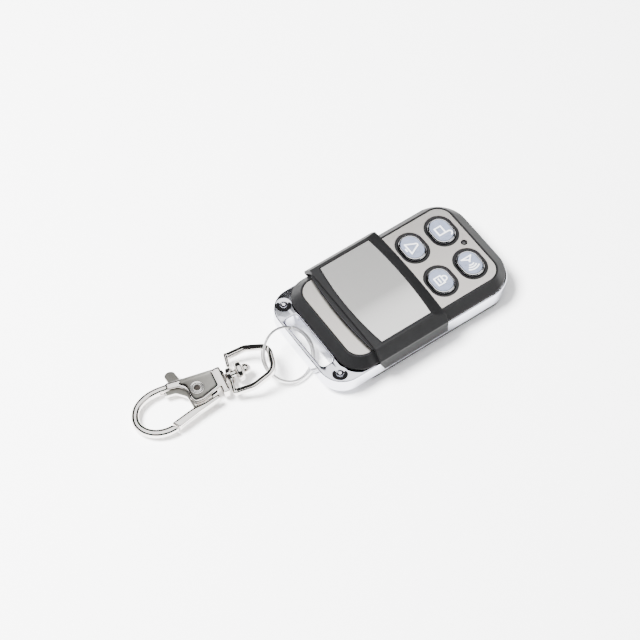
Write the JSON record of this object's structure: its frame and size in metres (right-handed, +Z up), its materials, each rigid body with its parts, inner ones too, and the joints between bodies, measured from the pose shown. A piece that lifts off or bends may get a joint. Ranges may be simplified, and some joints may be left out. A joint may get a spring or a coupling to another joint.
{
  "type": "key fob remote control",
  "caption": "Small radio remote with sliding key cover, oval push buttons in a grey faceplate, chrome frame, split ring and swivel trigger clasp.",
  "frame": {"origin": "middle of the remote's flat back face, which lies on the table", "axes": "+X along the remote towards its button end, away from the key ring; +Y to the far long side; +Z up out of the back face"},
  "size_m": [0.1085, 0.0354, 0.0126],
  "materials": {
    "black_plastic": "fine matt grain",
    "black_case": "charcoal black, satin gloss",
    "chrome_frame": "bright plated, smooth",
    "grey_aluminium": "satin anodised, warm grey",
    "button_chrome": "bright plated",
    "button_face": "pale blue grey, with raised near-white marks",
    "battery_can": "printed sleeve left plain",
    "spring_contacts": "nickel plated strip",
    "circuit_board": "green solder mask",
    "clear_led": "clear lens",
    "chip_black": "moulded epoxy",
    "tin_can": "drawn tin-plated can",
    "trimmer_white": "ceramic white",
    "copper": "bare copper strip",
    "screws": "black zinc",
    "switch_black": "moulded",
    "switch_plunger": "moulded",
    "ring_steel": "polished nickel",
    "clasp_nickel": "polished nickel on a zinc casting",
    "spring_steel": "drawn wire"
  },
  "bodies": {
    "remote": {"back_cover": "black_plastic", "chrome_frame": "chrome_frame", "upper_case": "black_case", "faceplate": "grey_aluminium", "battery": "battery_can", "battery_contact_minus": "spring_contacts", "battery_contact_plus": "spring_contacts", "circuit_board": "circuit_board", "indicator_led": "clear_led", "encoder_chip": "chip_black", "saw_resonator": "tin_can", "trimmer_capacitor": "trimmer_white", "loop_antenna": "copper", "case_screws": "screws", "switch_body_1": "switch_black", "switch_body_2": "switch_black", "switch_body_3": "switch_black", "switch_body_4": "switch_black"},
    "cover": {"slide_cover": "black_case", "cover_plate": "grey_aluminium"},
    "ring": {"split_ring": "ring_steel"},
    "bail": {"swivel_bail": "clasp_nickel"},
    "clasp": {"clasp_body": "clasp_nickel", "swivel_pin": "clasp_nickel", "gate_rivet": "clasp_nickel", "gate_spring": "spring_steel"},
    "gate": {"gate_lever": "clasp_nickel"},
    "button_1": {"button_cap_1": "button_chrome", "button_face_1": "button_face", "switch_plunger_1": "switch_plunger"},
    "button_2": {"button_cap_2": "button_chrome", "button_face_2": "button_face", "switch_plunger_2": "switch_plunger"},
    "button_3": {"button_cap_3": "button_chrome", "button_face_3": "button_face", "switch_plunger_3": "switch_plunger"},
    "button_4": {"button_cap_4": "button_chrome", "button_face_4": "button_face", "switch_plunger_4": "switch_plunger"}
  },
  "joints": [
    {"name": "cover_slide", "type": "slide", "parent": "remote", "child": "cover", "axis": [1, 0, 0], "range_m": [0, 0.0205]},
    {"name": "button_1_press", "type": "slide", "parent": "remote", "child": "button_1", "axis": [0, 0, -1], "range_m": [0, 0.0004], "stiffness_N_per_m": 4000, "springref_m": -0.0001},
    {"name": "button_2_press", "type": "slide", "parent": "remote", "child": "button_2", "axis": [0, 0, -1], "range_m": [0, 0.0004], "stiffness_N_per_m": 4000, "springref_m": -0.0001},
    {"name": "button_3_press", "type": "slide", "parent": "remote", "child": "button_3", "axis": [0, 0, -1], "range_m": [0, 0.0004], "stiffness_N_per_m": 4000, "springref_m": -0.0001},
    {"name": "button_4_press", "type": "slide", "parent": "remote", "child": "button_4", "axis": [0, 0, -1], "range_m": [0, 0.0004], "stiffness_N_per_m": 4000, "springref_m": -0.0001},
    {"name": "ring_swing", "type": "hinge", "parent": "remote", "child": "ring", "pos_m": [-0.0306, 0, 0.00465], "axis": [0, 1, 0], "range_deg": [-3, 30]},
    {"name": "bail_swing", "type": "hinge", "parent": "ring", "child": "bail", "pos_m": [-0.03968, 0.00286, 0.00829], "axis": [0.5003, 0.7415, 0.4471], "range_deg": [-35, 3]},
    {"name": "clasp_swivel", "type": "hinge", "parent": "bail", "child": "clasp", "pos_m": [-0.04872, 0.00501, 0.00327], "axis": [0.9803, -0.1906, 0.0523], "continuous": true},
    {"name": "gate_open", "type": "hinge", "parent": "clasp", "child": "gate", "pos_m": [-0.05854, 0.00636, 0.00275], "axis": [0.0514, -0.01, -0.9986], "range_deg": [0, 25], "stiffness_Nm_per_rad": 0.03, "springref_deg": -17.19, "deforming": ["gate_spring"]}
  ]
}
